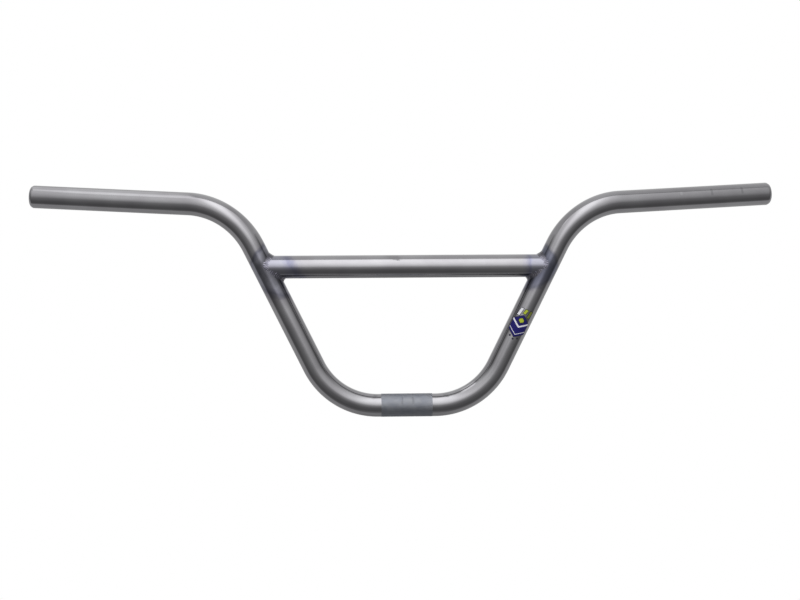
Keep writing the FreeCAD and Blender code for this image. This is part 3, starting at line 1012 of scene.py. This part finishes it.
def decal_film():
    """Printed matte film: even inks with a fine grain."""
    material = bpy.data.materials.new("decal_film")
    nodes = Nodes(material)
    place = nodes.add("ShaderNodeTexCoord").outputs["Object"]
    grain = nodes.noise(place, FILM_GRAIN)
    ink = nodes.attribute("ink", "Color")
    colour = nodes.mix(nodes.span(grain, *NOISE_SPAN, 0.0, FILM_WEAR), ink, FILM_GREY)
    shader = nodes.add("ShaderNodeBsdfPrincipled", {
        "Base Color": colour,
        "Roughness": nodes.span(grain, *NOISE_SPAN, *FILM_ROUGHNESS),
        "Specular IOR Level": 0.2,
    })
    nodes.finish(shader.outputs[0])
    return material


# Stage, light and camera.

def set_world():
    """White surroundings, which light the object more softly than they show."""
    world = bpy.data.worlds.new("studio")
    bpy.context.scene.world = world
    nodes = Nodes(world)
    strength = nodes.span(nodes.seen(), 0.0, 1.0, AMBIENT, 1.0)
    shader = nodes.add("ShaderNodeBackground", {"Color": WHITE, "Strength": strength})
    nodes.finish(shader.outputs[0], "ShaderNodeOutputWorld")


def make_floor():
    """A plain pale floor that fades into the white surroundings and keeps the object's shadow."""
    work = bmesh.new()
    bmesh.ops.create_circle(work, cap_ends=True, radius=FLOOR_RADIUS, segments=AROUND)
    mesh = bpy.data.meshes.new("floor")
    work.to_mesh(mesh)
    work.free()
    floor = add_object("floor", mesh)
    floor.location.z = FLOOR_HEIGHT
    material = bpy.data.materials.new("floor_paper")
    nodes = Nodes(material)
    place = nodes.add("ShaderNodeTexCoord").outputs["Object"]
    away = nodes.add("ShaderNodeVectorMath", {0: place}, operation="LENGTH").outputs["Value"]
    white_share = nodes.span(away, *FLOOR_FADE, FLOOR_WHITE, 1.0, smooth=True)
    share = nodes.sum("MULTIPLY", nodes.seen(), white_share)
    paper = nodes.add("ShaderNodeBsdfDiffuse", {"Color": FLOOR_PAPER})
    white = nodes.add("ShaderNodeEmission", {"Color": WHITE, "Strength": 1.0})
    mixed = nodes.add("ShaderNodeMixShader", {0: share, 1: paper.outputs[0], 2: white.outputs[0]})
    nodes.finish(mixed.outputs[0])
    mesh.materials.append(material)


def gloss_only(name, mesh):
    """An object that is seen only in the bar's gloss."""
    item = add_object(name, mesh)
    for rays in ("camera", "diffuse", "shadow", "transmission"):
        setattr(item, "visible_" + rays, False)
    return item


def sheet(name, corners):
    """A mesh of one flat face."""
    mesh = bpy.data.meshes.new(name)
    mesh.from_pydata(corners, [], [range(len(corners))])
    return mesh


def make_light_tent():
    """A light tent, seen only in the bar's gloss: cloth all round but for an opening on the backdrop."""
    opening = math.radians(TENT_OPENING)
    lowest = FLOOR_HEIGHT + TENT_GAP - CROSSBAR_HEIGHT
    rings = []
    for row in range(TENT_ROWS + 1):
        lean = math.pi - (math.pi - opening) * row / TENT_ROWS
        ring = []
        for turn in ring_angles(TENT_COLUMNS):
            across = math.sin(lean)
            way = Vector((across * math.cos(turn), math.cos(lean), across * math.sin(turn)))
            reach = TENT_RADIUS if way.z * TENT_RADIUS > lowest else lowest / way.z
            ring.append(tuple(way * reach))
        rings.append(ring)
    mesh = shell("light_tent", rings, closed=False)
    tent = gloss_only("light_tent", mesh)
    tent.location = (0, 0, CROSSBAR_HEIGHT)
    material = bpy.data.materials.new("tent_cloth")
    nodes = Nodes(material)
    place = nodes.add("ShaderNodeTexCoord").outputs["Object"]
    way = nodes.add("ShaderNodeVectorMath", {0: place}, operation="NORMALIZE").outputs["Vector"]
    parts = nodes.add("ShaderNodeSeparateXYZ", {0: way}).outputs
    toward = nodes.sum("MULTIPLY", parts["Y"], -1.0)
    climb = nodes.sum("DEGREES", nodes.sum("ARCTAN2", parts["Z"], toward))
    grey = [((angle + 180) / 360, (level / TENT_TOP,) * 3) for angle, level in TENT_LEVELS]
    middle = nodes.ramp(nodes.span(climb, -180.0, 180.0), grey)
    fade = [((spot + 1) / 2, (level,) * 3) for spot, level in TENT_FADE]
    share = nodes.ramp(nodes.span(parts["X"], -1.0, 1.0), fade)
    depth = [((spot + 1) / 2, (level / TENT_TOP,) * 3) for spot, level in TENT_SIDES]
    side = nodes.ramp(nodes.span(parts["Y"], -1.0, 1.0), depth)
    above = nodes.sum("MULTIPLY", share, nodes.sum("SUBTRACT", middle, side))
    level = nodes.sum("MULTIPLY", nodes.sum("ADD", side, above), TENT_TOP)
    light = nodes.add("ShaderNodeEmission", {"Color": WHITE, "Strength": level})
    nodes.finish(light.outputs[0])
    mesh.materials.append(material)


def make_panel():
    """A soft panel above the left grip, seen only in the bar's gloss."""
    near = [(side, PANEL_NEAR, PANEL_HEIGHT) for side in (PANEL_OUTER, PANEL_INNER)]
    far = [(side, PANEL_FAR, PANEL_HEIGHT) for side in (PANEL_INNER, PANEL_OUTER)]
    mesh = sheet("soft_panel", near + far)
    panel = gloss_only("soft_panel", mesh)
    material = bpy.data.materials.new("panel_cloth")
    nodes = Nodes(material)
    place = nodes.add("ShaderNodeTexCoord").outputs["Object"]
    parts = nodes.add("ShaderNodeSeparateXYZ", {0: place}).outputs
    level = nodes.span(parts["Y"], *PANEL_TURN, PANEL_FRONT, PANEL_BACK, smooth=True)
    light = nodes.add("ShaderNodeEmission", {"Color": WHITE, "Strength": level})
    clear = nodes.add("ShaderNodeBsdfTransparent")
    inner = nodes.span(parts["X"], PANEL_INNER, PANEL_INNER - PANEL_INNER_SOFT, 0.0, 1.0, smooth=True)
    outer = nodes.span(parts["X"], PANEL_OUTER, PANEL_OUTER + PANEL_OUTER_SOFT, 0.0, 1.0, smooth=True)
    share = nodes.sum("MULTIPLY", inner, outer)
    cloth = nodes.add("ShaderNodeMixShader", {0: share, 1: clear.outputs[0], 2: light.outputs[0]})
    nodes.finish(cloth.outputs[0])
    mesh.materials.append(material)


def make_card():
    """A grey card between the panel and the right bend, seen only in the bar's gloss."""
    mesh = sheet("grey_card", [(0.0, back, height) for back, height in CARD_CORNERS])
    card = gloss_only("grey_card", mesh)
    material = bpy.data.materials.new("card_grey")
    nodes = Nodes(material)
    light = nodes.add("ShaderNodeEmission", {"Color": WHITE, "Strength": CARD_LEVEL})
    nodes.finish(light.outputs[0])
    mesh.materials.append(material)


def make_lamp():
    """A soft lamp above the camera, for what isn't gloss, and for the shadow on the floor."""
    data = bpy.data.lights.new("soft_lamp", "AREA")
    data.shape = "SQUARE"
    data.size = LAMP_SIZE
    data.energy = LAMP_POWER
    lamp = add_object("soft_lamp", data)
    lamp.location = LAMP_PLACE
    aim = Vector((0, 0, CROSSBAR_HEIGHT)) - lamp.location
    lamp.rotation_euler = aim.to_track_quat("-Z", "Y").to_euler()
    lamp.visible_glossy = False


def make_camera():
    """The camera of the photograph."""
    data = bpy.data.cameras.new("camera")
    data.lens = CAMERA_LENS
    data.sensor_width = CAMERA_SENSOR
    data.clip_start, data.clip_end = CAMERA_NEAR, CAMERA_FAR
    camera = add_object("camera", data)
    forward = Vector((
        math.sin(CAMERA_YAW) * math.cos(CAMERA_PITCH),
        math.cos(CAMERA_YAW) * math.cos(CAMERA_PITCH),
        -math.sin(CAMERA_PITCH),
    ))
    level = Vector((math.cos(CAMERA_YAW), -math.sin(CAMERA_YAW), 0))
    upward = level.cross(forward)
    right = level * math.cos(CAMERA_ROLL) + upward * math.sin(CAMERA_ROLL)
    upward = upward * math.cos(CAMERA_ROLL) - level * math.sin(CAMERA_ROLL)
    turn = Matrix((right, upward, -forward)).transposed()
    camera.matrix_world = Matrix.Translation(CAMERA_AIM - forward * CAMERA_DISTANCE) @ turn.to_4x4()
    bpy.context.scene.camera = camera


def dress(piece, material, node=None):
    """A piece gets its finish and its place on the part, and the solid that it stands for is hidden."""
    piece.data.materials.append(material)
    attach(piece, "root")
    if node:
        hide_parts(node)


bpy.context.scene.view_settings.view_transform = "Standard"
steel = coated_steel()
weld = weld_steel()
dress(make_bar(), steel, "bent_bar")
dress(make_crossbar(), steel, "crossbar")
bead = bead_rings()
dress(make_bead("bead_right", bead), weld, "weld_right")
dress(make_bead("bead_left", [mirrored(ring) for ring in bead]), weld, "weld_left")
dress(make_knurl(), knurl_steel())
dress(make_decal(), decal_film())
set_world()
make_floor()
make_light_tent()
make_panel()
make_card()
make_lamp()
make_camera()
